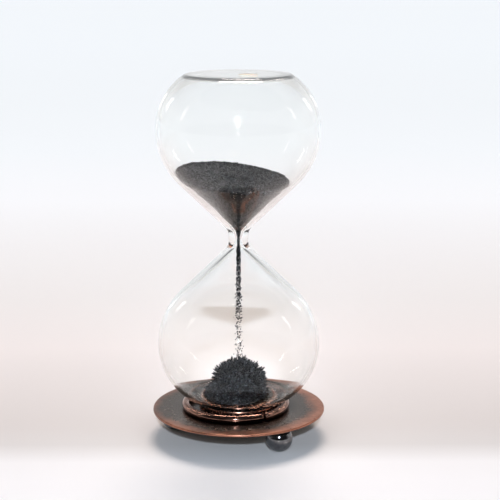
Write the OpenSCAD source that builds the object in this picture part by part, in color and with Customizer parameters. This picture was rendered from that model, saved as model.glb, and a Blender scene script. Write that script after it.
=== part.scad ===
// Magnetic hourglass. A blown-glass timer holds loose iron filings and stands on a small
// copper-plated steel base. A magnet under the base's copper cap pulls the fallen filings
// into a spiky mound. The timer is loose on its base: it is lifted off and turned over.
//
// Millimetres, +Z up. The origin is on the desk, under the centre of the base plate.
// Angles round the base are counted from the front (-Y) towards the right (+X).

/* [Base plate] */
// Diameter of the base plate
plate_d = 76; // [72:1:90]
// Thickness of the base plate
plate_t = 1.2; // [1:0.1:2]
// Rounding of the plate's top and bottom edges
plate_edge_r = 0.45; // [0.2:0.05:0.45]

/* [Feet] */
// Diameter of each ball foot
foot_d = 11.6; // [9:0.1:14]
// Distance from the middle of the plate to the middle of each foot
foot_circle_r = 29.2; // [24:0.1:31]
// Angle of the front right foot
foot_front_right_angle = 36.5; // [20:0.5:60]
// Angle of the rear foot
foot_rear_angle = 149; // [130:0.5:200]
// Angle of the left foot
foot_left_angle = 261; // [240:0.5:280]
// Depth of the flat on a ball where it is brazed to the plate
foot_flat_depth = 0.3; // [0.2:0.05:0.6]
// Radius of the braze fillet round each ball
foot_braze_r = 2.8; // [2.6:0.1:3.2]

/* [Retaining ring] */
// Thickness of the ring's wire
ring_wire_d = 3.6; // [3:0.1:4]
// Radius of the wire's centre line
ring_r = 22.2; // [22:0.1:24]
// Place of the ring to the right of the middle, as the hand-made ring sits a little off
ring_x = -1.3; // [-1.3:0.1:1.3]
// Place of the ring behind the middle
ring_y = -1; // [-1:0.1:1]
// Depth of the flat on the wire where it is brazed to the plate
ring_flat_depth = 0.2; // [0.1:0.05:0.4]
// Width of the gap between the wire's two cut ends
ring_gap = 1; // [0.4:0.1:3]
// Angle of the gap
ring_gap_angle = 32.5; // [0:0.5:360]
// Angle covered by each braze spot along the ring's inner foot
ring_braze_span = 14; // [8:1:30]

/* [Magnet and cap] */
// Outer radius of the copper cap
cap_r = 17.5; // [16.5:0.1:18]
// Height of the cap, on which the glass stands
cap_h = 3.4; // [3.2:0.1:4.5]
// Thickness of the cap's top
cap_top_t = 0.7; // [0.5:0.1:1]
// Rounding of the cap's top edge
cap_edge_r = 1.2; // [0.6:0.1:1.4]
// Radius of the disc magnet
magnet_r = 15.9; // [12:0.1:16]
// Clearance round the magnet
magnet_gap = 0.4; // [0.2:0.1:0.6]
// Thickness of the adhesive under the magnet
adhesive_t = 0.2; // [0.1:0.05:0.5]

/* [Glass] */
// Radius of each bulb at its widest
bulb_r = 35.45; // [34:0.05:37]
// Radius of the curve from a bulb's widest point to its flat end
shoulder_curve_r = 28.2; // [27.5:0.1:29]
// Radius of the curve from a bulb's widest point to its funnel
funnel_curve_r = 32.4; // [31:0.1:33.5]
// Half angle of the straight part of the funnel, from the vertical
funnel_angle = 45.8; // [44:0.1:48]
// Outer radius of the waist
waist_r = 4.3; // [3.8:0.1:5]
// Half the length of the waist's straight part
waist_half = 3.4; // [3:0.1:4]
// Radius of the hole that the filings run through, at its narrowest
bore_r = 0.85; // [0.8:0.05:1]
// Radius of the throat, where the inside of the funnel ends
throat_r = 1.7; // [1.5:0.1:2]
// Height of the throat above and below the middle of the waist
throat_h = 4.6; // [4.2:0.1:5]
// Height of the upper flat above the middle of the waist
waist_to_top = 71; // [69:0.1:72]
// Depth of the lower flat below the middle of the waist
waist_to_bottom = 73; // [72:0.1:74]
// Wall thickness of the bulbs
wall_t = 1.4; // [1:0.1:1.8]
// Thickness of the upper flat
top_t = 1.6; // [1.2:0.1:2]
// Thickness of the lower flat
bottom_t = 2.4; // [2:0.1:3]
// Rounding of the upper flat's corner
top_corner_r = 1.5; // [1:0.1:2.5]
// Rounding of the lower flat's corner
bottom_corner_r = 3; // [2:0.1:4]

/* [Fill plug] */
// Radius of the stopper that closes the filling hole
plug_r = 4.1; // [3:0.1:5]
// Length of the stopper
plug_h = 3; // [2.4:0.1:5]
// Chamfer of the stopper's inner end
plug_chamfer = 0.5; // [0.2:0.1:1]
// Place of the stopper to the right of the middle
plug_x = 4.3; // [0:0.1:10]
// Place of the stopper behind the middle
plug_y = -2; // [-8:0.5:8]

/* [Filings] */
// Height of the upper filings at the axis, above the middle of the waist
fill_h = 25.8; // [12:0.1:28]
// Slope of their free surface, down to the right
fill_side_slope = 6; // [-6:0.5:6]
// Slope of their free surface, down to the front
fill_front_slope = 4.5; // [-5:0.5:5]
// Gap between the upper filings and the glass
filings_gap = 0.25; // [0.2:0.05:0.5]
// Radius of the falling stream
stream_r = 0.65; // [0.4:0.05:0.65]
// Radius of the mound
pile_r = 12.2; // [8:0.1:12.4]
// Height of the mound
pile_h = 17.6; // [12:0.1:20]
// Height at which the mound is widest
pile_wide_h = 5; // [2:0.1:8]
// Place of the mound to the right of the middle
pile_x = 0.4; // [-2:0.1:2]
// Place of the mound behind the middle
pile_y = -1.4; // [-2:0.1:2]
// Radius of the loose filings round the mound's foot
foot_pile_r = 14.8; // [13:0.1:15]
// Height of those filings
foot_pile_h = 3.4; // [2:0.1:5]
// Width of their sloping edge
foot_pile_edge = 1.4; // [0.5:0.1:2]
// Place of those filings to the right of the middle
foot_pile_x = -1.6; // [-2:0.1:2]
// Place of those filings behind the middle
foot_pile_y = -2.4; // [-2.5:0.1:2]

/* [Hidden] */

$fn = 96;
arc_steps = 16;      // straight steps that stand for one long arc of a profile
edge_steps = 6;      // and for one small rounding
quarter = 90;        // degrees
turn = 360;          // degrees
past = 1;            // how far a cutting solid runs past what it cuts
stream_sink = 2.2;   // how far the stream runs into the mound

copper = [0.62, 0.38, 0.28];
dark_copper = [0.36, 0.29, 0.25];
gunmetal = [0.22, 0.22, 0.24];
braze_metal = [0.45, 0.36, 0.28];
iron = [0.20, 0.20, 0.22];

foot_r = foot_d / 2;
plate_z = foot_d - foot_flat_depth;
plate_top = plate_z + plate_t;
wire_r = ring_wire_d / 2;
ring_z = plate_top + wire_r - ring_flat_depth;
ring_braze_h = 0.8;
ring_braze_in = 0.2;     // how far inside the wire's inner edge a spot of braze starts
ring_braze_count = 3;
cap_cavity_r = magnet_r + magnet_gap;
cap_cavity_h = cap_h - cap_top_t;
waist_z = plate_top + cap_h + waist_to_bottom;
glass_top = waist_z + waist_to_top;
glass_floor = waist_z - waist_to_bottom + bottom_t;
funnel_centre_r = bulb_r - funnel_curve_r;
shoulder_centre_r = bulb_r - shoulder_curve_r;
// Height of a bulb's widest point above the waist, where the funnel's cone meets its curve smoothly
equator_h = waist_half
    + (funnel_curve_r - (waist_r - funnel_centre_r) * cos(funnel_angle)) / sin(funnel_angle);
stream_top = throat_h;
stream_bottom = glass_floor + pile_h - stream_sink - waist_z;

function polar(r, a) = r * [cos(a), sin(a)];
function arc(centre, r, from, to, steps) =
    [for (i = [0:steps]) centre + polar(r, from + (to - from) * i / steps)];
function tail(points) = [for (i = [1:len(points) - 1]) points[i]];

// One bulb from its funnel to the edge of its flat end, as [radius, height above the waist].
// inset moves the whole curve inwards, by the wall's thickness for the inside of the glass.
function bulb(inset, flat_h, corner_r) =
    let (
        side_r = shoulder_curve_r - inset,
        rise = flat_h - corner_r - equator_h,
        corner_x = shoulder_centre_r + sqrt(pow(side_r - corner_r, 2) - rise * rise),
        meets = atan2(rise, corner_x - shoulder_centre_r)
    )
    concat(
        arc([funnel_centre_r, equator_h], funnel_curve_r - inset, -funnel_angle, 0, arc_steps),
        tail(arc([shoulder_centre_r, equator_h], side_r, 0, meets, arc_steps)),
        tail(arc([corner_x, flat_h - corner_r], corner_r, meets, quarter, edge_steps))
    );

// Half outline of everything above the waist's middle, from the waist up to the flat end.
// neck holds the points between the waist's middle and the funnel.
function half_vessel(neck, inset, flat_h, corner_r) = concat(neck, bulb(inset, flat_h, corner_r));

// Closed half outline of a whole vessel: the upper half, then the lower one upside down
function vessel(neck, inset, top_h, bottom_h) =
    let (lower = half_vessel(neck, inset, bottom_h, bottom_corner_r))
    concat(
        [[0, -bottom_h]],
        [for (i = [len(lower) - 1:-1:0]) [lower[i].x, -lower[i].y]],
        [for (p = half_vessel(neck, inset, top_h, top_corner_r)) if (p.y > 0) p],
        [[0, top_h]]
    );

module at_angle(a) rotate([0, 0, a - quarter]) children();

module base_plate() {
    e = plate_edge_r;
    r = plate_d / 2 - e;
    color(dark_copper)
        translate([0, 0, plate_z])
            rotate_extrude()
                polygon(concat(
                    [[0, 0]],
                    arc([r, e], e, -quarter, 0, edge_steps),
                    arc([r, plate_t - e], e, 0, quarter, edge_steps),
                    [[0, plate_t]]
                ));
}

module at_ring() translate([ring_x, ring_y, 0]) children();

module wire_torus()
    translate([0, 0, ring_z])
        rotate_extrude()
            translate([ring_r, 0])
                circle(r = wire_r);

// An open hoop of round wire, flattened a little where it is brazed down
module retaining_ring()
    color(copper)
        at_ring() difference() {
            wire_torus();
            translate([0, 0, plate_top - ring_wire_d])
                cylinder(r = ring_r + ring_wire_d, h = ring_wire_d);
            at_angle(ring_gap_angle)
                translate([ring_r - ring_wire_d, -ring_gap / 2, plate_top - past])
                    cube([2 * ring_wire_d, ring_gap, ring_wire_d + 2 * past]);
        }

// Three spots of braze in the corner between the ring's inner foot and the plate
module ring_braze() {
    spacing = turn / ring_braze_count;
    color(braze_metal)
        at_ring() for (i = [0:ring_braze_count - 1])
            difference() {
                at_angle(ring_gap_angle + spacing * (i + 0.5) - ring_braze_span / 2)
                    translate([0, 0, plate_top])
                        rotate_extrude(angle = ring_braze_span)
                            translate([ring_r - wire_r + ring_braze_in, 0])
                                square([wire_r - ring_braze_in, ring_braze_h]);
                wire_torus();
            }
}

// A pressed copper cap, open underneath, that hides the magnet and carries the glass
module magnet_cap()
    color(copper)
        translate([0, 0, plate_top])
            rotate_extrude()
                polygon(concat(
                    [[cap_cavity_r, 0], [cap_r, 0]],
                    arc([cap_r - cap_edge_r, cap_h - cap_edge_r], cap_edge_r, 0, quarter, edge_steps),
                    [[0, cap_h], [0, cap_cavity_h], [cap_cavity_r, cap_cavity_h]]
                ));

module magnet()
    color("dimgray")
        translate([0, 0, plate_top + adhesive_t])
            cylinder(r = magnet_r, h = cap_cavity_h - adhesive_t);

module magnet_adhesive()
    color("khaki")
        translate([0, 0, plate_top])
            cylinder(r = magnet_r - past, h = adhesive_t);

module at_foot(a) at_angle(a) translate([foot_circle_r, 0, foot_r]) children();

module ball_foot(a)
    color(gunmetal)
        at_foot(a)
            difference() {
                sphere(r = foot_r);
                translate([-foot_r, -foot_r, foot_r - foot_flat_depth])
                    cube([foot_d, foot_d, foot_r]);
            }

module foot_front_right() ball_foot(foot_front_right_angle);
module foot_left() ball_foot(foot_left_angle);
module foot_rear() ball_foot(foot_rear_angle);

// A thin ring of braze between each ball and the underside of the plate
module foot_braze()
    color(braze_metal)
        for (a = [foot_front_right_angle, foot_left_angle, foot_rear_angle])
            at_foot(a)
                difference() {
                    translate([0, 0, foot_r - foot_flat_depth - past])
                        cylinder(r = foot_braze_r, h = past);
                    sphere(r = foot_r);
                    translate([0, 0, -foot_r])
                        cylinder(r = foot_r, h = foot_d - past);
                }

module filling_hole(r, h) translate([plug_x, plug_y, glass_top - h]) cylinder(r = r, h = h + past);

// Both bulbs and the waist between them, blown as one vessel
module glass_vessel()
    color([0.85, 0.92, 0.92, 0.35])
        difference() {
            translate([0, 0, waist_z])
                rotate_extrude()
                    polygon(vessel([[waist_r, waist_half]], 0, waist_to_top, waist_to_bottom));
            translate([0, 0, waist_z])
                rotate_extrude()
                    polygon(vessel(
                        [[bore_r, 0], [throat_r, throat_h]], wall_t,
                        waist_to_top - top_t, waist_to_bottom - bottom_t
                    ));
            filling_hole(plug_r, top_t + past);
        }

module fill_plug()
    color([0.93, 0.78, 0.62])
        translate([plug_x, plug_y, glass_top - plug_h])
            rotate_extrude()
                polygon([
                    [0, 0], [plug_r - plug_chamfer, 0], [plug_r, plug_chamfer],
                    [plug_r, plug_h], [0, plug_h]
                ]);

// The filings still to fall: they fill the funnel up to a sloping free surface
module filings_upper() {
    reach = 2 * bulb_r;
    inset = wall_t + filings_gap;
    throat_gap = filings_gap / cos(funnel_angle);
    inside = bulb(inset, waist_to_top - top_t, top_corner_r);
    color(iron)
        translate([0, 0, waist_z])
            difference() {
                rotate_extrude()
                    polygon(concat(
                        [[0, throat_h], [throat_r - throat_gap, throat_h]],
                        [for (p = inside) if (p.y < equator_h) p],
                        [[0, equator_h]]
                    ));
                translate([0, 0, fill_h])
                    rotate([fill_front_slope, fill_side_slope, 0])
                        translate([-reach, -reach, 0])
                            cube([2 * reach, 2 * reach, reach]);
            }
}

// The grains that are falling, as one thin column from the funnel to the mound
module filings_stream()
    color(iron)
        translate([0, 0, waist_z + stream_bottom])
            cylinder(r = stream_r, h = stream_top - stream_bottom);

// The mound that the magnet gathers on the floor of the lower bulb, and the loose filings round it
module filings_pile()
    color(iron)
        difference() {
            union() {
                translate([pile_x, pile_y, glass_floor])
                    rotate_extrude()
                        polygon(concat(
                            [[0, 0], [pile_r, 0]],
                            [for (p = arc([0, 0], 1, 0, quarter, arc_steps))
                                [pile_r * p.x, pile_wide_h + (pile_h - pile_wide_h) * p.y]]
                        ));
                translate([foot_pile_x, foot_pile_y, glass_floor])
                    cylinder(r1 = foot_pile_r, r2 = foot_pile_r - foot_pile_edge, h = foot_pile_h);
            }
            filings_stream();
        }

base_plate();
retaining_ring();
ring_braze();
magnet_cap();
magnet();
magnet_adhesive();
foot_front_right();
foot_left();
foot_rear();
foot_braze();
glass_vessel();
fill_plug();
filings_upper();
filings_stream();
filings_pile();
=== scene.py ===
"""The looks of the magnetic hourglass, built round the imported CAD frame. Metres, +Z up."""

import math

import bpy
import numpy as np
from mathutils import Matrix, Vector, noise


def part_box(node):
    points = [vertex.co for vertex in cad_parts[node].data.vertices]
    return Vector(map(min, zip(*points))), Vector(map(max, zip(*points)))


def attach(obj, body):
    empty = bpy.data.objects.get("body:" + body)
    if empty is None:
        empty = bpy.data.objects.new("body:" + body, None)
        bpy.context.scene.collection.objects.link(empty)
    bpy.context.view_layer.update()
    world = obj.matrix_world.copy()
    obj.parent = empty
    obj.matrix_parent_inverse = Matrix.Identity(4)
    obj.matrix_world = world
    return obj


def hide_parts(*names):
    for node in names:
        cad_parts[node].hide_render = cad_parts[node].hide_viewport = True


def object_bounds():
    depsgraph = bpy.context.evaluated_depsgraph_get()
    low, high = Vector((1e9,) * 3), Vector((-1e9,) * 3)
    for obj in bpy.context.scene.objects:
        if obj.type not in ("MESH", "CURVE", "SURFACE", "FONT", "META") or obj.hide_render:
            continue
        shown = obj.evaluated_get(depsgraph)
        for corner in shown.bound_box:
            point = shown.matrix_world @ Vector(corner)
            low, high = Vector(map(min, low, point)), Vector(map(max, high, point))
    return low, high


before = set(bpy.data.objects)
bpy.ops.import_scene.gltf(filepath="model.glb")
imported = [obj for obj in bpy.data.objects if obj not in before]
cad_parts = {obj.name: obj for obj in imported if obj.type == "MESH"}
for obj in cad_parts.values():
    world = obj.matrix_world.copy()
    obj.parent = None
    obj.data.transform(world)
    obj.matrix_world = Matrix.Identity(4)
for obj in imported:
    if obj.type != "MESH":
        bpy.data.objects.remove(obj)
cad_low, cad_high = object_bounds()

MM = 0.001
TURN = 2 * math.pi
# each point turned this far from the last spreads them evenly, as seeds lie in a flower
SPREAD_TURN = 2.399963


# ---------------------------------------------------------------- mesh helpers
def mesh_object(name, verts, faces, smooth=True):
    """A mesh object from an array of points and a list of index arrays, one for each number of corners."""
    mesh = bpy.data.meshes.new(name)
    corners = np.concatenate([f.ravel() for f in faces]).astype(np.int32)
    sizes = np.concatenate([np.full(len(f), f.shape[1]) for f in faces])
    starts = np.concatenate([[0], np.cumsum(sizes)[:-1]]).astype(np.int32)
    mesh.vertices.add(len(verts))
    mesh.vertices.foreach_set("co", np.asarray(verts, np.float32).ravel())
    mesh.loops.add(len(corners))
    mesh.loops.foreach_set("vertex_index", corners)
    mesh.polygons.add(len(sizes))
    mesh.polygons.foreach_set("loop_start", starts)
    mesh.update(calc_edges=True)
    mesh.validate()
    mesh.shade_smooth() if smooth else mesh.shade_flat()
    obj = bpy.data.objects.new(name, mesh)
    bpy.context.scene.collection.objects.link(obj)
    return obj


def join_parts(parts):
    """Several (points, [index arrays]) parts as one."""
    verts, faces, count = [], [], 0
    for part_verts, part_faces in parts:
        verts.append(part_verts)
        faces += [f + count for f in part_faces]
        count += len(part_verts)
    return np.concatenate(verts), faces


def ring_faces(rings, segments, first=0):
    """Quads between neighbouring rings of points, each ring with the same number of points."""
    k = np.arange(rings - 1)[:, None] * segments
    j = np.arange(segments)[None, :]
    nxt = (j + 1) % segments
    quads = np.stack([k + j, k + nxt, k + segments + nxt, k + segments + j], axis=-1)
    return quads.reshape(-1, 4) + first


def lathe(profile, segments, centre=(0, 0), wobble=None, flip=False):
    """A closed turned solid. The profile runs from the bottom of the axis to its top as (radius, height)."""
    profile = np.asarray(profile, float)
    inner = profile[1:-1]
    angle = np.arange(segments) / segments * TURN
    radius = np.repeat(inner[:, 0][:, None], segments, axis=1)
    height = np.repeat(inner[:, 1][:, None], segments, axis=1)
    if wobble is not None:
        step = np.gradient(inner, axis=0)
        normal = np.stack([step[:, 1], -step[:, 0]], axis=1)
        normal /= np.linalg.norm(normal, axis=1)[:, None]
        length = np.concatenate([[0], np.cumsum(np.linalg.norm(np.diff(inner, axis=0), axis=1))])
        push = wobble(length[:, None], angle[None, :], inner)
        radius = radius + push * normal[:, 0][:, None]
        height = height + push * normal[:, 1][:, None]
    rows = np.stack([
        centre[0] + radius * np.cos(angle),
        centre[1] + radius * np.sin(angle),
        height,
    ], axis=-1).reshape(-1, 3)
    bottom = [[centre[0], centre[1], profile[0, 1]]]
    top = [[centre[0], centre[1], profile[-1, 1]]]
    verts = np.concatenate([rows, bottom, top])
    quads = ring_faces(len(inner), segments)
    j = np.arange(segments)
    nxt = (j + 1) % segments
    last = (len(inner) - 1) * segments
    low = np.stack([np.full(segments, len(rows)), nxt, j], axis=1)
    high = np.stack([np.full(segments, len(rows) + 1), last + j, last + nxt], axis=1)
    faces = [quads, low, high]
    return verts, [f[:, ::-1] for f in faces] if flip else faces


def arc(centre, radius, start, end, steps):
    """Points on an arc, with the angles in degrees."""
    a = np.radians(np.linspace(start, end, steps + 1))
    return np.stack([centre[0] + radius * np.cos(a), centre[1] + radius * np.sin(a)], axis=1)


def resample(points, step):
    """The same line with points about step apart."""
    points = np.asarray(points, float)
    gaps = np.linalg.norm(np.diff(points, axis=0), axis=1)
    points = points[np.concatenate([[True], gaps > 1e-9])]
    length = np.concatenate([[0], np.cumsum(np.linalg.norm(np.diff(points, axis=0), axis=1))])
    at = np.linspace(0, length[-1], max(2, int(round(length[-1] / step)) + 1))
    return np.stack([np.interp(at, length, points[:, i]) for i in range(2)], axis=1)


def soften(points, where, passes):
    """Rounds a line's corners where the mask is true."""
    points = points.copy()
    for _ in range(passes):
        mean = points.copy()
        mean[1:-1] = (points[:-2] + 2 * points[1:-1] + points[2:]) / 4
        points = np.where(where[:, None], mean, points)
    return points


def unit(v):
    return v / np.maximum(np.linalg.norm(v, axis=1), 1e-12)[:, None]


def splinters(feet, axes, lengths, widths, rng, widest=0.4):
    """Iron grains. Each is a four-sided splinter, pointed at both ends."""
    count = len(feet)
    axes = unit(axes)
    side = unit(np.cross(axes, rng.normal(size=(count, 3))))
    other = np.cross(axes, side) * rng.uniform(0.5, 1.0, count)[:, None]
    lengths, widths = lengths[:, None], widths[:, None]
    middle = feet + axes * lengths * widest
    rows = [
        feet, middle + side * widths, middle + other * widths,
        middle - side * widths, middle - other * widths, feet + axes * lengths,
    ]
    verts = np.stack(rows, axis=1).reshape(-1, 3)
    one = np.array([
        [0, 2, 1], [0, 3, 2], [0, 4, 3], [0, 1, 4],
        [5, 1, 2], [5, 2, 3], [5, 3, 4], [5, 4, 1],
    ])
    tris = (one[None] + np.arange(count)[:, None, None] * len(rows)).reshape(-1, 3)
    return verts, [tris]


def roughness_of(points, scale, seed):
    """Smooth noise from -1 to 1 at each point."""
    shift = Vector((seed * 7.3, seed * 3.1, seed * 5.7))
    return np.array([noise.noise(Vector(p) * scale + shift) for p in points])


# ------------------------------------------------------------ material helpers
class Paint:
    """A node material being built."""

    def __init__(self, name):
        self.material = bpy.data.materials.new(name)
        self.material.use_nodes = True
        self.tree = self.material.node_tree
        self.tree.nodes.clear()
        self.out = self.node("ShaderNodeOutputMaterial")
        self.shader = self.node("ShaderNodeBsdfPrincipled")
        self.link(self.shader.outputs[0], self.out.inputs["Surface"])
        self.place = self.node("ShaderNodeTexCoord").outputs["Object"]

    def node(self, kind, **values):
        made = self.tree.nodes.new(kind)
        for key, value in values.items():
            if hasattr(made, key):
                setattr(made, key, value)
            else:
                made.inputs[key].default_value = value
        return made

    def link(self, a, b):
        self.tree.links.new(a, b)

    def set(self, **values):
        for key, value in values.items():
            self.shader.inputs[key.replace("_", " ")].default_value = value

    def noise(self, size, detail=3.0, stretch=(1, 1, 1)):
        """Noise whose blotches are about size metres across."""
        made = self.node("ShaderNodeTexNoise", Scale=1 / size, Detail=detail)
        self.link(self.stretched(stretch), made.inputs["Vector"])
        return made.outputs["Fac"]

    def stretched(self, stretch):
        if stretch == (1, 1, 1):
            return self.place
        made = self.node("ShaderNodeMapping")
        made.inputs["Scale"].default_value = stretch
        self.link(self.place, made.inputs["Vector"])
        return made.outputs[0]

    def cells(self, size):
        """A random colour for each cell about size metres across."""
        made = self.node("ShaderNodeTexVoronoi", Scale=1 / size)
        self.link(self.place, made.inputs["Vector"])
        return made.outputs["Color"]

    def ramp(self, fac, stops):
        """A colour ramp from (position, colour) pairs."""
        made = self.node("ShaderNodeValToRGB")
        elements = made.color_ramp.elements
        while len(elements) < len(stops):
            elements.new(0.5)
        for element, (position, colour) in zip(elements, stops):
            element.position = position
            value = colour if isinstance(colour, tuple) else (colour,) * 3
            element.color = (*value, 1)
        self.link(fac, made.inputs["Fac"])
        return made.outputs["Color"]

    def mix(self, fac, a, b, blend="MIX"):
        made = self.node("ShaderNodeMix", data_type="RGBA", blend_type=blend)
        for socket, value in ((made.inputs[0], fac), (made.inputs[6], a), (made.inputs[7], b)):
            if isinstance(value, (int, float)):
                socket.default_value = value if socket.type == "VALUE" else (value,) * 3 + (1,)
            elif isinstance(value, tuple):
                socket.default_value = (*value, 1)
            else:
                self.link(value, socket)
        return made.outputs[2]

    def math(self, operation, a, b=0.0):
        made = self.node("ShaderNodeMath", operation=operation)
        for socket, value in zip(made.inputs, (a, b)):
            if isinstance(value, (int, float)):
                socket.default_value = value
            else:
                self.link(value, socket)
        return made.outputs[0]

    def range(self, value, low, high, to_low=0.0, to_high=1.0):
        made = self.node("ShaderNodeMapRange")
        for key, number in (("From Min", low), ("From Max", high), ("To Min", to_low), ("To Max", to_high)):
            made.inputs[key].default_value = number
        self.link(value, made.inputs["Value"])
        return made.outputs[0]

    def radius(self):
        """Distance from the hourglass's axis."""
        split = self.node("ShaderNodeSeparateXYZ")
        self.link(self.place, split.inputs[0])
        squares = [self.math("POWER", split.outputs[i], 2.0) for i in (0, 1)]
        return self.math("SQRT", self.math("ADD", squares[0], squares[1]))

    def axis(self, index):
        split = self.node("ShaderNodeSeparateXYZ")
        self.link(self.place, split.inputs[0])
        return split.outputs[index]

    def bump(self, height, distance):
        made = self.node("ShaderNodeBump", Distance=distance)
        self.link(height, made.inputs["Height"])
        self.link(made.outputs[0], self.shader.inputs["Normal"])

    def to(self, output, key):
        self.link(output, self.shader.inputs[key])


def finish_piece(obj, paint, body, slot, *nodes):
    """Gives a new piece its material and its place in the CAD model."""
    obj.data.materials.clear()
    obj.data.materials.append(paint.material)
    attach(obj, body)
    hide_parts(*nodes)
    return obj


def repaint(node_name, paint):
    """Gives a CAD node that stays its own procedural material."""
    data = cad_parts[node_name].data
    data.materials.clear()
    data.materials.append(paint.material)


# ------------------------------------------------------- sizes, from the frame
plate_low, plate_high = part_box("base_plate")
ring_low, ring_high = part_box("retaining_ring")
ring_centre = (ring_low + ring_high) / 2
cap_low, cap_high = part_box("magnet_cap")
glass_low, glass_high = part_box("glass_vessel")
plug_low, plug_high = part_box("fill_plug")
mound_low, mound_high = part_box("filings_pile")
plate_top = plate_high.z
plate_radius = plate_high.x
bulb_r = glass_high.x

# The glass's own curves, as in the CAD source
shoulder_curve_r = 28.2 * MM
funnel_curve_r = 32.4 * MM
funnel_angle = math.radians(45.8)
waist_r = 4.3 * MM
waist_half = 3.4 * MM
bore_r = 0.85 * MM
throat_r = 1.7 * MM
throat_h = 4.6 * MM
filings_gap = 0.25 * MM
wall_t = 1.4 * MM
top_t = 1.6 * MM
bottom_t = 2.4 * MM
top_corner_r = 1.5 * MM
bottom_corner_r = 3 * MM
waist_to_bottom = 73 * MM
waist_z = glass_low.z + waist_to_bottom
waist_to_top = glass_high.z - waist_z
floor_z = glass_low.z + bottom_t
funnel_centre_r = bulb_r - funnel_curve_r
shoulder_centre_r = bulb_r - shoulder_curve_r
equator_h = waist_half + (
    funnel_curve_r - (waist_r - funnel_centre_r) * math.cos(funnel_angle)
) / math.sin(funnel_angle)


def bulb(inset, flat_h, corner_r):
    """One bulb from its funnel to the edge of its flat end, as (radius, height above the waist)."""
    side_r = shoulder_curve_r - inset
    rise = flat_h - corner_r - equator_h
    corner = (shoulder_centre_r + math.sqrt((side_r - corner_r) ** 2 - rise**2), flat_h - corner_r)
    meets = math.degrees(math.atan2(rise, corner[0] - shoulder_centre_r))
    return np.concatenate([
        arc((funnel_centre_r, equator_h), funnel_curve_r - inset, -math.degrees(funnel_angle), 0, 90),
        arc((shoulder_centre_r, equator_h), side_r, 0, meets, 60),
        arc(corner, corner_r, meets, 90, 24),
    ])


# Outside of the upper filings, from the throat up to the bulb's widest point
fill_outline = np.concatenate([
    [[throat_r - filings_gap / math.cos(funnel_angle), throat_h]],
    arc(
        (funnel_centre_r, equator_h), funnel_curve_r - wall_t - filings_gap,
        -math.degrees(funnel_angle), 0, 200,
    ),
])


def fill_radius(h):
    """Radius of the filings at height h above the waist."""
    return np.interp(h, fill_outline[:, 1], fill_outline[:, 0])


# ---------------------------------------------------------------------- camera
camera_away = 0.578886
camera_above_plate = 0.198732
camera_down = 12.436
camera_left = 0.496
camera_data = bpy.data.cameras.new("camera")
camera_data.lens = 98.15
camera_data.sensor_width = 36
camera_data.clip_start = 0.01
camera_data.clip_end = 50
camera = bpy.data.objects.new("camera", camera_data)
camera.location = (0, -camera_away, plate_top + camera_above_plate)
camera.rotation_euler = (math.radians(90 - camera_down), 0, math.radians(-camera_left))
bpy.context.scene.collection.objects.link(camera)
bpy.context.scene.camera = camera


# -------------------------------------------------------------- light and floor
def direction(azimuth, elevation):
    """The way to a lamp. Azimuth 0 is the camera's side and 90 the right, in degrees."""
    a, e = math.radians(azimuth), math.radians(elevation)
    return Vector((math.sin(a) * math.cos(e), -math.cos(a) * math.cos(e), math.sin(e)))


def sun(name, azimuth, elevation, strength, width, colour):
    """A far lamp, width degrees across."""
    data = bpy.data.lights.new(name, "SUN")
    data.energy = strength
    data.angle = math.radians(width)
    data.color = colour
    lamp = bpy.data.objects.new(name, data)
    towards = direction(azimuth, elevation)
    lamp.rotation_euler = towards.to_track_quat("Z", "Y").to_euler()
    bpy.context.scene.collection.objects.link(lamp)


def strip(name, azimuth, elevation, distance, size, watts):
    """A narrow soft box that faces the hourglass."""
    data = bpy.data.lights.new(name, "AREA")
    data.shape = "RECTANGLE"
    data.size, data.size_y = size
    data.energy = watts
    lamp = bpy.data.objects.new(name, data)
    towards = direction(azimuth, elevation)
    middle = Vector((0, 0, (cad_low.z + cad_high.z) / 2))
    lamp.location = middle + towards * distance
    lamp.rotation_euler = towards.to_track_quat("Z", "Y").to_euler()
    bpy.context.scene.collection.objects.link(lamp)


sun("front_lamp", 0, 27, 2.15, 1.8, (0.81, 0.97, 1.14))
sun("overhead_lamp", 176, 62, 1.8, 26, (1.08, 0.985, 0.92))
strip("flash", 0, 19.7, 1.115, (0.075, 0.075), 1.2)
strip("left_strip", -88, 26, 1.0, (0.028, 0.3), 0.25)
strip("right_strip", 88, 26, 1.0, (0.028, 0.3), 0.25)
strip("left_back_strip", -131, 19, 1.0, (0.018, 0.2), 0.14)
strip("right_back_strip", 131, 19, 1.0, (0.018, 0.2), 0.14)


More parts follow.
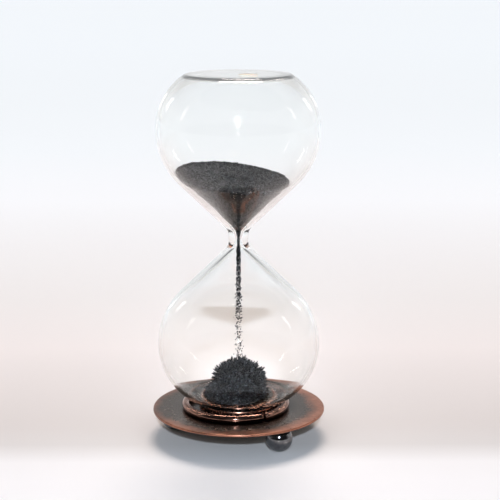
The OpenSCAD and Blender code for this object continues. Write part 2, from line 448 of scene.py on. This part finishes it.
def make_world():
    """A room that is pale low down behind the hourglass, and dark on the camera's side."""
    world = bpy.data.worlds.new("room")
    world.use_nodes = True
    tree = world.node_tree
    tree.nodes.clear()
    out = tree.nodes.new("ShaderNodeOutputWorld")
    light = tree.nodes.new("ShaderNodeBackground")
    place = tree.nodes.new("ShaderNodeTexCoord")
    split = tree.nodes.new("ShaderNodeSeparateXYZ")
    tree.links.new(place.outputs["Generated"], split.inputs[0])

    def step(value, low, high):
        made = tree.nodes.new("ShaderNodeMapRange")
        made.interpolation_type = "SMOOTHSTEP"
        made.inputs["From Min"].default_value = low
        made.inputs["From Max"].default_value = high
        tree.links.new(value, made.inputs["Value"])
        return made.outputs[0]

    def blend(share, a, b):
        made = tree.nodes.new("ShaderNodeMix")
        made.data_type = "RGBA"
        tree.links.new(share, made.inputs[0])
        for socket, value in ((made.inputs[6], a), (made.inputs[7], b)):
            if isinstance(value, tuple):
                socket.default_value = (*value, 1)
            else:
                tree.links.new(value, socket)
        return made.outputs[2]

    low = step(split.outputs[2], 0.5, 0.2)
    high_part = blend(step(split.outputs[1], 0.02, 0.5), (0.05, 0.05, 0.055), (0.24, 0.245, 0.25))
    low_part = blend(step(split.outputs[1], -0.4, 0.1), (0.05, 0.05, 0.055), (0.86, 0.87, 0.88))
    tree.links.new(blend(low, high_part, low_part), light.inputs["Color"])
    tree.links.new(light.outputs[0], out.inputs["Surface"])
    bpy.context.scene.world = world


def make_floor():
    half = 8.0
    verts = np.array([[-half, -half, 0], [half, -half, 0], [half, half, 0], [-half, half, 0]])
    floor = mesh_object("floor", verts, [np.array([[0, 1, 2, 3]])], smooth=False)
    paint = Paint("floor_painted_light_and_shade")
    # painted light and shade: the floor is painted lighter in front of the base, darker under and just behind
    # the hourglass, and lightest far off
    depth = paint.range(paint.axis(1), -0.3, 2.4)
    tone = paint.ramp(depth, [
        (0.055, (0.93, 0.915, 0.92)), (0.09, (0.92, 0.885, 0.88)), (0.098, (0.9, 0.86, 0.85)),
        (0.105, (0.72, 0.67, 0.645)), (0.115, (0.705, 0.64, 0.61)),
        (0.16, (0.87, 0.79, 0.76)), (0.2, (0.86, 0.81, 0.785)), (0.326, (0.955, 0.95, 0.955)),
        (0.433, (0.935, 0.955, 0.965)), (0.615, (0.93, 0.955, 0.965)), (1.0, (0.94, 0.97, 0.985)),
    ])
    paint.to(tone, "Base Color")
    paint.set(Roughness=0.9, Specular_IOR_Level=0.0)
    floor.data.materials.append(paint.material)


make_world()
make_floor()
bpy.context.scene.view_settings.view_transform = "Standard"


# ----------------------------------------------------------------------- glass
def clear_glass():
    most_reflections = 2.5
    paint = Paint("clear_glass")
    paint.set(
        Base_Color=(0.996, 1, 0.993, 1), Roughness=0.0, IOR=1.48, Transmission_Weight=1.0,
        Specular_Tint=(0.28, 0.28, 0.28, 1),
    )
    see = paint.node("ShaderNodeBsdfTransparent")
    edge = paint.node("ShaderNodeLayerWeight", Blend=0.35)
    tint = paint.ramp(edge.outputs["Facing"], [
        (0.0, (0.985, 0.98, 0.975)), (0.75, (0.94, 0.93, 0.92)), (1.0, (0.55, 0.53, 0.51)),
    ])
    paint.link(tint, see.inputs["Color"])
    ray = paint.node("ShaderNodeLightPath")
    both = paint.node("ShaderNodeMixShader")
    # light trapped inside the wall goes straight out once it has turned back three times,
    # and light on its way from a lamp passes straight through
    trapped = paint.node("ShaderNodeMixShader")
    paint.link(paint.math("GREATER_THAN", ray.outputs["Glossy Depth"], most_reflections), trapped.inputs[0])
    paint.link(paint.shader.outputs[0], trapped.inputs[1])
    paint.link(paint.node("ShaderNodeBsdfTransparent").outputs[0], trapped.inputs[2])
    paint.link(ray.outputs["Is Shadow Ray"], both.inputs[0])
    paint.link(trapped.outputs[0], both.inputs[1])
    paint.link(see.outputs[0], both.inputs[2])
    paint.link(both.outputs[0], paint.out.inputs["Surface"])
    return paint


def vessel_profile(neck, inset, top_h, bottom_h, passes):
    """Outline of one surface of the glass. neck holds its points between the waist and the funnel."""
    neck = np.array(neck)
    upper = np.concatenate([neck, bulb(inset, top_h, top_corner_r)])
    lower = np.concatenate([neck, bulb(inset, bottom_h, bottom_corner_r)])[::-1] * [1, -1]
    line = resample(np.concatenate([lower, upper]), 0.8 * MM)
    line = soften(line, np.abs(line[:, 1]) < 8 * MM, passes)
    flat = 0.8 * MM
    bottom = np.linspace(0, line[0, 0], int(line[0, 0] / (4 * flat)))[:-1]
    top = np.linspace(line[-1, 0], 0, int(line[-1, 0] / (4 * flat)))[1:]
    return np.concatenate([
        np.stack([bottom, np.full(len(bottom), line[0, 1])], axis=1),
        line,
        np.stack([top, np.full(len(top), line[-1, 1])], axis=1),
    ]) + [0, waist_z]


def blown(depth, waves, seed):
    """A shallow ripple, as blown glass has: rings that wander a little round the bulb."""
    rng = np.random.default_rng(seed)
    table = [(w * MM, a, rng.uniform(0, TURN), rng.uniform(0.5, 1.6), rng.integers(1, 4)) for w, a in waves]

    def push(along, angle, line):
        up = np.abs(line[:, 1] - waist_z)[:, None]
        low_h = np.where(line[:, 1] > waist_z, waist_to_top, waist_to_bottom)[:, None]
        calm = np.clip((up - 5 * MM) / (10 * MM), 0, 1) * np.clip((low_h - 6 * MM - up) / (8 * MM), 0, 1)
        total = 0
        for wave, share, phase, drift, turns in table:
            wander = drift * np.sin(turns * angle + phase)
            total = total + share * np.sin(TURN * along / wave + phase + wander)
        return depth * total * calm

    return push


def make_glass():
    outer = lathe(
        vessel_profile([[waist_r, waist_half]], 0, waist_to_top, waist_to_bottom, 5), 128,
        wobble=blown(0.008 * MM, [(23, 1.0), (13, 0.5)], 3),
    )
    inner = lathe(
        vessel_profile(
            [[bore_r, 0], [throat_r, throat_h]], wall_t, waist_to_top - top_t, waist_to_bottom - bottom_t, 3
        ), 128,
        wobble=blown(0.012 * MM, [(27, 1.0), (14, 0.6), (9, 0.3)], 8), flip=True,
    )
    glass = mesh_object("glass", *join_parts([outer, inner]))
    centre = (plug_low + plug_high) / 2
    reach = (plug_high.x - plug_low.x) / 2 - 0.04 * MM
    cut = lathe([(0, glass_high.z - 2 * top_t), (reach, glass_high.z - 2 * top_t),
                 (reach, glass_high.z + top_t), (0, glass_high.z + top_t)], 96, (centre.x, centre.y))
    cutter = mesh_object("plug_cutter", *cut, smooth=False)
    hole = glass.modifiers.new("hole", "BOOLEAN")
    hole.object = cutter
    hole.solver = "MANIFOLD"
    bpy.context.view_layer.update()
    depsgraph = bpy.context.evaluated_depsgraph_get()
    cut_mesh = bpy.data.meshes.new_from_object(glass.evaluated_get(depsgraph))
    glass.modifiers.clear()
    glass.data = cut_mesh
    bpy.data.objects.remove(cutter)
    cut_mesh.set_sharp_from_angle(angle=math.radians(50))
    finish_piece(glass, clear_glass(), "hourglass", "clear_glass", "glass_vessel")


def make_stopper():
    centre = (plug_low + plug_high) / 2
    reach = (plug_high.x - plug_low.x) / 2
    low, high = plug_low.z, plug_high.z
    chamfer, crown = 0.5 * MM, 0.12 * MM
    line = [(0, low), (reach * 0.5, low), (reach - chamfer, low)]
    line += [(reach, low + chamfer), (reach, high - 1.2 * MM)]
    line += [tuple(p) for p in arc((reach - chamfer, high - chamfer - crown), chamfer, 0, 80, 8)]
    line += [(reach * f, high - crown * f * f) for f in (0.8, 0.65, 0.5, 0.35, 0.2, 0.08)]
    line += [(0, high)]

    def lumps(along, angle, _):
        return 0.035 * MM * (np.sin(3 * angle + along / MM) + np.sin(7 * angle + 2.2 * along / MM))

    stopper = mesh_object("stopper", *lathe(line, 96, (centre.x, centre.y), wobble=lumps))
    paint = Paint("stopper")
    clouds = paint.noise(2.2 * MM, 4)
    spots = paint.noise(1.1 * MM, 2)
    tone = paint.ramp(clouds, [
        (0.3, (0.90, 0.66, 0.42)), (0.6, (0.97, 0.82, 0.60)), (0.8, (0.98, 0.88, 0.72)),
    ])
    tone = paint.mix(paint.range(spots, 0.66, 0.72), tone, (0.45, 0.24, 0.11))
    paint.to(tone, "Base Color")
    paint.set(
        Roughness=0.32, Subsurface_Weight=0.25, Subsurface_Scale=2 * MM, Coat_Weight=0.4, Coat_Roughness=0.15,
    )
    paint.bump(paint.noise(0.5 * MM, 3), 0.08 * MM)
    finish_piece(stopper, paint, "hourglass", "stopper", "fill_plug")


make_glass()
make_stopper()


# ------------------------------------------------------------------------ base
def aged_copper(name):
    """Copper under a brown-grey patina, worn off towards the plate's rim and most of all on the right, with
    painted shade: darker inside the ring, and near-black on the plate's underside.
    """
    paint = Paint(name)
    wander = paint.math("MULTIPLY", paint.math("SUBTRACT", paint.noise(9 * MM, 3), 0.5), 7 * MM)
    streaks = paint.math("MULTIPLY", paint.math("SUBTRACT", paint.noise(1.6 * MM, 4), 0.5), 3 * MM)
    r = paint.math("ADD", paint.radius(), paint.math("ADD", wander, streaks))
    r = paint.math("ADD", r, paint.math("MULTIPLY", paint.axis(0), 0.06))
    worn = paint.range(r, plate_radius - 6.2 * MM, plate_radius - 0.2 * MM)
    on_top = paint.range(paint.axis(2), plate_low.z + 0.2 * MM, plate_low.z + 0.5 * MM)
    worn = paint.math("MULTIPLY", worn, on_top)
    patina = paint.ramp(paint.noise(0.7 * MM, 4), [
        (0.25, (0.055, 0.044, 0.038)), (0.6, (0.105, 0.082, 0.070)), (0.85, (0.145, 0.108, 0.088)),
    ])
    # painted shade: the patina darkens towards the ring and is a tenth as bright inside it
    painted_ring_shade = paint.range(paint.radius(), 21 * MM, 27 * MM, 0.1, 1.0)
    patina = paint.mix(1.0, patina, painted_ring_shade, "MULTIPLY")
    # painted shade: the plate's underside is painted near-black
    patina = paint.mix(on_top, (0.03, 0.027, 0.025), patina)
    bare = paint.ramp(paint.noise(3 * MM, 4), [(0.3, (0.33, 0.128, 0.08)), (0.7, (0.48, 0.215, 0.14))])
    tone = paint.mix(worn, patina, bare)
    spots = paint.range(paint.noise(1.3 * MM, 2), 0.70, 0.76)
    tone = paint.mix(paint.math("MULTIPLY", spots, 0.6), tone, (0.035, 0.025, 0.022))
    paint.to(tone, "Base Color")
    paint.set(Metallic=1.0)
    worn_rough = paint.range(paint.noise(2.4 * MM, 5), 0.3, 0.7, 0.0, 0.08)
    rough = paint.range(paint.radius(), 25 * MM, 34 * MM, 0.15, 0.27)
    paint.to(paint.math("ADD", worn_rough, rough), "Roughness")
    paint.bump(paint.noise(0.9 * MM, 4), 0.006 * MM)
    return paint


def polished_copper(name, dark, bright, low_rough, high_rough):
    paint = Paint(name)
    tone = paint.ramp(paint.noise(2.6 * MM, 4), [(0.3, dark), (0.72, bright)])
    spots = paint.range(paint.noise(0.8 * MM, 2), 0.64, 0.72)
    tone = paint.mix(paint.math("MULTIPLY", spots, 0.6), tone, (0.06, 0.035, 0.028))
    paint.to(tone, "Base Color")
    paint.set(Metallic=1.0)
    paint.to(paint.range(paint.noise(1.6 * MM, 5), 0.3, 0.7, low_rough, high_rough), "Roughness")
    paint.bump(paint.noise(0.6 * MM, 3), 0.0012 * MM)
    return paint


def make_plate():
    low, top = plate_low.z, plate_high.z
    edge = 0.45 * MM
    r = plate_radius - edge
    line = [(0, low)] + [(r * f, low) for f in np.linspace(0.08, 1, 20)[:-1]]
    line += [tuple(p) for p in arc((r, low + edge), edge, -90, 0, 8)]
    line += [tuple(p) for p in arc((r, top - edge), edge, 0, 90, 8)]
    line += [(r * f, top) for f in np.linspace(1, 0.08, 30)[1:]] + [(0, top)]

    def hammered(along, angle, points):
        outside = np.clip((points[:, 0] - 25 * MM) / (12 * MM), 0, 1)[:, None]
        return 0.03 * MM * outside * (np.sin(2 * angle + 0.7) + 0.6 * np.sin(5 * angle + along * 60))

    plate = mesh_object("plate", *lathe(line, 256, wobble=hammered))
    finish_piece(plate, aged_copper("aged_copper_plate"), "base", "aged_copper_plate", "base_plate")


def make_ring():
    """A hoop of round wire bent by hand, with two cut ends that nearly meet."""
    wire_r = 1.8 * MM
    flat = 0.2 * MM
    ring_r = (ring_high.x - ring_low.x) / 2 - wire_r
    middle_z = ring_low.z + wire_r - flat
    gap_angle = math.radians(32.5 - 90)
    half_gap = 0.5 * MM / ring_r
    steps, sides = 300, 28
    t = np.linspace(0, 1, steps)
    # the cut ends are rounded over: the last steps shrink towards a blunt tip
    angle = gap_angle + half_gap + t * (TURN - 2 * half_gap)
    from_end = np.minimum(t, 1 - t) * TURN * ring_r
    rounding = 0.45 * MM
    shrink = np.where(from_end < rounding, np.sqrt(np.clip(1 - (1 - from_end / rounding) ** 2, 0, 1)), 1)
    radius = wire_r - rounding * (1 - shrink)
    nicks = [(0.9, 0.06), (2.2, 0.05), (3.1, 0.07), (3.9, 0.05), (5.2, 0.08)]
    hoop = ring_r + 0.10 * MM * np.sin(2 * angle + 0.4) + 0.05 * MM * np.sin(5 * angle) - 0.12 * MM
    rows = []
    for i in range(steps):
        a = angle[i]
        ring = []
        for k in range(sides):
            b = k / sides * TURN
            r = radius[i]
            for place, depth in nicks:
                near = math.exp(-(((t[i] * TURN - place) / 0.018) ** 2)) * max(0.0, math.cos(b - 1.2)) ** 3
                r -= depth * MM * near
            out = hoop[i] + r * math.cos(b)
            up = max(middle_z + r * math.sin(b), ring_low.z)
            ring.append((ring_centre.x + out * math.cos(a), ring_centre.y + out * math.sin(a), up))
        rows.append(ring)
    verts = np.array(rows).reshape(-1, 3)
    ends = np.array([verts[:sides].mean(0), verts[-sides:].mean(0)])
    j = np.arange(sides)
    nxt = (j + 1) % sides
    last = (steps - 1) * sides
    first_cap = np.stack([np.full(sides, len(verts)), j, nxt], axis=1)
    last_cap = np.stack([np.full(sides, len(verts) + 1), last + nxt, last + j], axis=1)
    quads = ring_faces(steps, sides)[:, ::-1]
    ring = mesh_object("wire_ring", np.concatenate([verts, ends]), [quads, first_cap, last_cap])
    paint = polished_copper("copper_wire", (0.16, 0.078, 0.057), (0.33, 0.185, 0.14), 0.07, 0.14)
    finish_piece(ring, paint, "base", "copper_wire", "retaining_ring")


def make_cap():
    r = cap_high.x
    low, top = cap_low.z, cap_high.z
    edge = 1.2 * MM
    hollow_r, hollow_top = r - 1.2 * MM, top - 0.7 * MM
    inside, lip = 0.1 * MM, 0.05 * MM
    line = [(0, hollow_top), (hollow_r * 0.5, hollow_top), (hollow_r - inside, hollow_top)]
    line += [(hollow_r, hollow_top - inside), (hollow_r, low + lip), (hollow_r + lip, low)]
    line += [(r - lip, low), (r, low + lip)]
    line += [tuple(p) for p in arc((r - edge, top - edge), edge, 0, 90, 12)]
    line += [((r - edge) * f, top) for f in np.linspace(1, 0.08, 16)[1:]] + [(0, top)]
    cap = mesh_object("cap", *lathe(line, 192))
    cap.data.set_sharp_from_angle(angle=math.radians(40))
    paint = polished_copper("copper_cap", (0.24, 0.12, 0.085), (0.42, 0.22, 0.155), 0.2, 0.3)
    # painted shade: the cap's top, under the glass and the mound, is painted near-black; only the rounded
    # edge shows copper
    painted_top_shade = paint.ramp(paint.noise(1.4 * MM, 4), [(0.3, (0.04, 0.038, 0.03)), (0.7, (0.09, 0.078, 0.062))])
    bare = paint.shader.inputs["Base Color"].links[0].from_socket
    at_edge = paint.range(paint.radius(), r - 2.2 * MM, r - 1.4 * MM)
    paint.to(paint.mix(at_edge, painted_top_shade, bare), "Base Color")
    finish_piece(cap, paint, "base", "copper_cap", "magnet_cap")


def make_feet():
    paint = Paint("gunmetal_ball")
    tone = paint.ramp(paint.noise(2.0 * MM, 4), [(0.3, (0.12, 0.118, 0.122)), (0.7, (0.20, 0.196, 0.20))])
    scuffs = paint.noise(0.5 * MM, 3, stretch=(1, 1, 9))
    paint.to(paint.mix(paint.range(scuffs, 0.68, 0.76, 0, 0.5), tone, (0.26, 0.25, 0.26)), "Base Color")
    paint.set(Metallic=1.0)
    paint.to(paint.range(paint.noise(1.5 * MM, 5), 0.35, 0.75, 0.07, 0.17), "Roughness")
    paint.bump(scuffs, 0.004 * MM)
    for name in ("foot_front_right", "foot_left", "foot_rear"):
        low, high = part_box(name)
        centre = (low + high) / 2
        r = (high.x - low.x) / 2
        flat_h = high.z - low.z - r
        stop = math.degrees(math.asin(flat_h / r))
        line = arc((0, low.z + r), r, -90, stop, 72)
        line[0, 0] = 0
        line = np.concatenate([line, [[line[-1, 0] * 0.6, high.z], [0, high.z]]])
        ball = mesh_object(name.replace("foot", "ball"), *lathe(line, 96, (centre.x, centre.y)))
        ball.data.set_sharp_from_angle(angle=math.radians(40))
        finish_piece(ball, paint, "base", "gunmetal_ball", name)


def paint_hidden():
    braze = Paint("braze")
    tone = braze.ramp(braze.noise(1.2 * MM, 4), [(0.3, (0.24, 0.15, 0.09)), (0.7, (0.42, 0.29, 0.17))])
    braze.to(tone, "Base Color")
    braze.set(Metallic=1.0)
    braze.to(braze.range(braze.noise(0.8 * MM, 3), 0.3, 0.7, 0.3, 0.5), "Roughness")
    repaint("ring_braze", braze)
    repaint("foot_braze", braze)
    magnet = Paint("magnet")
    tone = magnet.ramp(magnet.noise(0.6 * MM, 4), [(0.3, (0.30, 0.30, 0.31)), (0.7, (0.44, 0.44, 0.45))])
    magnet.to(tone, "Base Color")
    magnet.set(Metallic=1.0)
    magnet.to(magnet.range(magnet.noise(2 * MM, 4), 0.3, 0.7, 0.22, 0.36), "Roughness")
    repaint("magnet", magnet)
    adhesive = Paint("adhesive")
    tone = adhesive.ramp(adhesive.noise(1.5 * MM, 4), [
        (0.3, (0.42, 0.36, 0.24)), (0.7, (0.58, 0.52, 0.38)),
    ])
    adhesive.to(tone, "Base Color")
    adhesive.to(adhesive.range(adhesive.noise(1 * MM, 3), 0.3, 0.7, 0.35, 0.6), "Roughness")
    repaint("magnet_adhesive", adhesive)


make_plate()
make_ring()
make_cap()
make_feet()
paint_hidden()


# --------------------------------------------------------------------- filings
def iron(name, bright=1.0):
    """Loose iron grains, each a little different from the next. bright scales their whole tone."""
    paint = Paint(name)
    cell = paint.cells(0.45 * MM)
    split = paint.node("ShaderNodeSeparateColor")
    paint.link(cell, split.inputs[0])
    # painted light and shade: bright paints the same iron lighter or darker for each heap, the top filings,
    # the stream and the mound
    tones = [(0.0, 0.007), (0.5, 0.022), (0.82, 0.062), (1.0, 0.2)]
    tone = paint.ramp(split.outputs[0], [
        (at, (v * bright, v * 1.04 * bright, v * 1.12 * bright)) for at, v in tones
    ])
    paint.to(tone, "Base Color")
    paint.set(Metallic=0.85)
    paint.to(paint.range(split.outputs[1], 0, 1, 0.3, 0.6), "Roughness")
    return paint


def free_surface(x, y):
    """Height above the waist of the upper filings' free surface."""
    fill_h = 25.8 * MM
    side, front = math.tan(math.radians(6)), math.tan(math.radians(4.5))
    return fill_h - x * side + y * front


def heaps(x, y):
    """Small lumps in the free surface of the upper filings."""
    at = np.stack([x, y, x * 0], axis=1)
    return (0.3 * roughness_of(at, 160, 2) + 0.5 * np.maximum(roughness_of(at, 620, 5), 0)) * MM


def make_upper_filings():
    rng = np.random.default_rng(11)
    angles = np.arange(200) / 200 * TURN
    # where the sloping surface meets the glass, found by walking up to it
    edge_h = np.full(len(angles), free_surface(0, 0))
    for _ in range(12):
        edge_r = fill_radius(edge_h)
        edge_h = free_surface(edge_r * np.cos(angles), edge_r * np.sin(angles))
    edge_r = fill_radius(edge_h)
    steps = 56
    share = np.sqrt(np.linspace(0, 1, steps + 1)[1:])
    r = share[:, None] * edge_r[None, :]
    x, y = r * np.cos(angles), r * np.sin(angles)
    z = free_surface(x, y) + heaps(x.ravel(), y.ravel()).reshape(x.shape) + rng.normal(0, 0.12 * MM, x.shape)
    top = np.stack([x, y, z + waist_z], axis=-1)
    side_steps = 70
    fall = np.linspace(0, 1, side_steps + 1)[1:]
    h = edge_h[None, :] * (1 - fall[:, None]) + throat_h * fall[:, None]
    wall = fill_radius(h) - np.abs(rng.normal(0, 0.05 * MM, h.shape))
    side = np.stack([wall * np.cos(angles), wall * np.sin(angles), h + waist_z], axis=-1)
    rows = np.concatenate([top, side]).reshape(-1, 3)
    count = steps + side_steps
    middle = [[0, 0, free_surface(0, 0) + waist_z]]
    bottom = [[0, 0, throat_h + waist_z]]
    verts = np.concatenate([rows, middle, bottom])
    j = np.arange(len(angles))
    nxt = (j + 1) % len(angles)
    last = (count - 1) * len(angles)
    body = (verts, [
        ring_faces(count, len(angles))[:, ::-1],
        np.stack([np.full(len(j), len(rows)), j, nxt], axis=1),
        np.stack([np.full(len(j), len(rows) + 1), last + nxt, last + j], axis=1),
    ])

    def grains_on_top(number, edge_only=False):
        a = rng.uniform(0, TURN, number)
        reach = np.interp(a, np.append(angles, TURN), np.append(edge_r, edge_r[0]))
        share = rng.uniform(0.93, 0.978, number) if edge_only else np.sqrt(rng.uniform(0, 0.98, number))
        thin, thick, lift = (0.3, 0.6, 0.32) if edge_only else (0.13, 0.22, 0.12)
        out = share * reach
        px, py = out * np.cos(a), out * np.sin(a)
        pz = free_surface(px, py) + heaps(px, py) + waist_z
        axes = rng.normal(size=(number, 3)) * [1, 1, 0.7]
        length = rng.uniform(0.5, 0.95, number) * MM
        feet = np.stack([px, py, pz + lift * MM], axis=1) - unit(axes) * length[:, None] / 2
        return splinters(feet, axes, length, rng.uniform(thin, thick, number) * MM, rng, 0.5)

    def grains_at_wall(number):
        t = np.sqrt(rng.uniform(0.002, 1, number))
        a = rng.uniform(0, TURN, number)
        top_h = np.interp(a, np.append(angles, TURN), np.append(edge_h, edge_h[0]))
        ph = throat_h + (top_h - throat_h) * t
        out = fill_radius(ph) - 0.03 * MM
        slope = math.radians(45)
        out_by, up_by = math.sin(slope), np.full(number, math.cos(slope))
        along = np.stack([np.cos(a) * out_by, np.sin(a) * out_by, up_by], axis=1)
        round_it = np.stack([-np.sin(a), np.cos(a), np.zeros(number)], axis=1)
        turn = rng.uniform(0, math.pi, number)[:, None]
        axes = along * np.cos(turn) + round_it * np.sin(turn)
        length = rng.uniform(0.45, 0.8, number) * MM
        centre = np.stack([out * np.cos(a), out * np.sin(a), ph + waist_z], axis=1)
        feet = centre - axes * length[:, None] / 2
        return splinters(feet, axes, length, rng.uniform(0.10, 0.16, number) * MM, rng, 0.5)

    parts = [body, grains_on_top(7000), grains_on_top(900, True), grains_at_wall(6500)]
    filings = mesh_object("filings_in_top", *join_parts(parts), smooth=False)
    finish_piece(filings, iron("iron_filings_top", 0.6), "filings", "iron_filings", "filings_upper")


def make_stream():
    """The grains that fill the neck, and those that fall from it."""
    rng = np.random.default_rng(23)
    top = waist_z + throat_h + 0.4 * MM
    dense_end = waist_z - 24 * MM
    end = mound_high.z + 0.2 * MM

    def grains(z, spread, small, large, thick):
        number = len(z)
        a = rng.uniform(0, TURN, number)
        out = spread * np.sqrt(rng.uniform(0, 1, number))
        axes = rng.normal(size=(number, 3)) * [0.6, 0.6, 1]
        length = rng.uniform(small, large, number) * MM
        centre = np.stack([out * np.cos(a), out * np.sin(a), z], axis=1)
        feet = centre - unit(axes) * length[:, None] / 2
        return splinters(feet, axes, length, rng.uniform(0.8, 1.2, number) * thick * MM, rng, 0.5)

    throat = waist_z + throat_h * np.sqrt(rng.uniform(0, 1, 900))
    neck = rng.uniform(waist_z - 5 * MM, waist_z + 1 * MM, 700)
    dense = rng.triangular(dense_end - 15 * MM, waist_z - 4 * MM, waist_z - 4 * MM, 950)
    loose = end + (dense_end + 6 * MM - end) * rng.uniform(0, 1, 150)
    stray = end + (dense_end - end) * rng.uniform(0, 1, 70) ** 1.3
    parts = [
        grains(throat, np.interp(throat, [waist_z, top], [0.62 * MM, 1.25 * MM]), 0.35, 0.6, 0.13),
        grains(neck, np.full(len(neck), 0.62 * MM), 0.35, 0.6, 0.13),
        grains(dense, 0.85 * MM + 0.25 * MM * (waist_z - dense) / (24 * MM), 0.5, 0.85, 0.25),
        grains(loose, np.full(len(loose), 1.55 * MM), 0.5, 0.75, 0.36),
        grains(stray, np.full(len(stray), 2.3 * MM), 0.4, 0.65, 0.28),
    ]
    stream = mesh_object("falling_filings", *join_parts(parts), smooth=False)
    finish_piece(stream, iron("iron_filings_stream", 0.5), "filings", "iron_filings", "filings_stream")


def make_mound():
    """The spiked mound: a dark core, a coat of grains, and tufts that stand along the magnet's field."""
    rng = np.random.default_rng(37)
    foot_centre = np.array([mound_low.x + mound_high.x, mound_low.y + mound_high.y]) / 2
    dome_centre = foot_centre + np.array([1.7, 1.0]) * MM
    # (radius, height) from the foot's edge to the apex, under the tufts
    outline = resample(np.array([
        (14.1, 0.05), (13.9, 0.8), (13.0, 2.0), (11.6, 3.3), (10.6, 4.8), (10.3, 6.6), (10.0, 8.6),
        (9.1, 10.4), (7.3, 11.9), (4.9, 13.4), (2.5, 14.8), (0, 15.7),
    ]) * MM, 0.3 * MM)
    outline = soften(outline, np.ones(len(outline), bool), 8)
    along = np.linspace(0, 1, len(outline))
    foot_share = 0.3
    segments = 160
    # how deep the grains' roots sit in the core
    sunk = 0.3 * MM

    def surface(a, t):
        """A point of the core: t runs from 0 at the foot's edge to 1 at the apex."""
        r = np.interp(t, along, outline[:, 0])
        z = np.interp(t, along, outline[:, 1])
        low = np.clip(1 - z / (6 * MM), 0, 1)
        low = low * low * (3 - 2 * low)
        lobes = 0.4 * np.sin(3 * a) + 0.3 * np.sin(5 * a + 1) - 0.3
        r = r + lobes * low * MM + 0.35 * MM * np.sin(4 * a + 0.6) * np.sin(math.pi * t)
        middle = [dome_centre[i] + (foot_centre[i] - dome_centre[i]) * low for i in (0, 1)]
        return np.stack([middle[0] + r * np.cos(a), middle[1] + r * np.sin(a), floor_z + z], axis=-1)

    def outward(points):
        """The way the grains stand: out from the mound, level at the foot and upright at the apex."""
        away = points - np.array([dome_centre[0], dome_centre[1], floor_z + 4.2 * MM])
        away[:, 2] = np.maximum(away[:, 2], -0.8 * MM)
        return unit(unit(away) + [0, 0, 0.1])

    t = np.linspace(0, 1, 72)[:-1]
    a = np.arange(segments) / segments * TURN
    grid = surface(np.repeat(a[None, :], len(t), axis=0), np.repeat(t[:, None], segments, axis=1))
    flat = grid.reshape(-1, 3)
    flat = flat + outward(flat.copy()) * rng.normal(-0.1 * MM, 0.14 * MM, len(flat))[:, None]
    flat[:, 2] = np.maximum(flat[:, 2], floor_z + 0.02 * MM)
    apex = [[dome_centre[0], dome_centre[1], floor_z + outline[-1, 1]]]
    under = [[foot_centre[0], foot_centre[1], floor_z + 0.02 * MM]]
    verts = np.concatenate([flat, apex, under])
    j = np.arange(segments)
    nxt = (j + 1) % segments
    last = (len(t) - 1) * segments
    core = (verts, [
        ring_faces(len(t), segments),
        np.stack([np.full(segments, len(flat)), last + j, last + nxt], axis=1),
        np.stack([np.full(segments, len(flat) + 1), nxt, j], axis=1),
    ])

    def scatter(number, low, high, jitter):
        """Evenly spread points on the core between two values of t."""
        levels = np.linspace(low, high, 400)
        weight = np.maximum(np.interp(levels, along, outline[:, 0]), 0.3 * MM)
        total = np.concatenate([[0], np.cumsum((weight[1:] + weight[:-1]) / 2)])
        i = np.arange(number)
        t = np.interp((i + 0.5) / number, total / total[-1], levels)
        a = (i * SPREAD_TURN + rng.normal(0, jitter, number)) % TURN
        return surface(a, np.clip(t + rng.normal(0, jitter / 8, number), 0.005, 0.995))

    def coat(number, low, high):
        feet = scatter(number, low, high, 0.05)
        stand = outward(feet.copy())
        axes = stand + rng.normal(0, 0.42, (number, 3))
        length = rng.uniform(0.8, 1.4, number) * MM
        width = rng.uniform(0.1, 0.16, number) * MM
        return splinters(feet - stand * sunk, axes, length, width, rng)

    def tufts(number, low, high, short, tall, wide, hairs):
        """Pointed bunches: one stout grain in the middle and hairs that close in on its tip."""
        feet = scatter(number, low, high, 0.1)
        lean = unit(outward(feet.copy()) + rng.normal(0, 0.2, (number, 3)))
        tall_by = rng.uniform(short, tall, number) * MM * np.where(rng.uniform(size=number) > 0.85, 1.25, 1.0)
        wide = wide * rng.uniform(0.8, 1.2, number) * MM
        stout = splinters(feet - lean * sunk, lean, tall_by + sunk, wide * 0.55, rng, 0.25)
        feet, lean = np.repeat(feet, hairs, axis=0), np.repeat(lean, hairs, axis=0)
        tall_by, wide = np.repeat(tall_by, hairs), np.repeat(wide, hairs)
        total = number * hairs
        climb = rng.uniform(0, 1, total) ** 1.4
        spread = wide * (1 - 0.85 * climb) * np.sqrt(rng.uniform(0.1, 1, total))
        across = unit(np.cross(lean, rng.normal(size=(total, 3)))) * spread[:, None]
        start = feet + lean * (tall_by * climb * 0.6)[:, None] + across
        tip = feet + lean * tall_by[:, None]
        axes = unit(tip - start) + rng.normal(0, 0.12, (total, 3))
        length = np.linalg.norm(tip - start, axis=1) * rng.uniform(0.6, 0.95, total) + 0.1 * MM
        return [stout, splinters(start, axes, length, rng.uniform(0.11, 0.17, total) * MM, rng, 0.3)]

    parts = [core, coat(2600, 0.0, 1.0), coat(900, 0.0, foot_share)]
    parts += tufts(210, 0.02, foot_share, 1.3, 2.0, 0.46, 10)
    parts += tufts(330, foot_share, 0.995, 1.9, 2.9, 0.52, 16)
    verts, faces = join_parts(parts)
    verts[:, 2] = np.maximum(verts[:, 2], floor_z + 0.01 * MM)
    mound = mesh_object("filings_mound", verts, faces, smooth=False)
    finish_piece(mound, iron("iron_filings_mound", 0.8), "filings", "iron_filings", "filings_pile")


make_upper_filings()
make_stream()
make_mound()
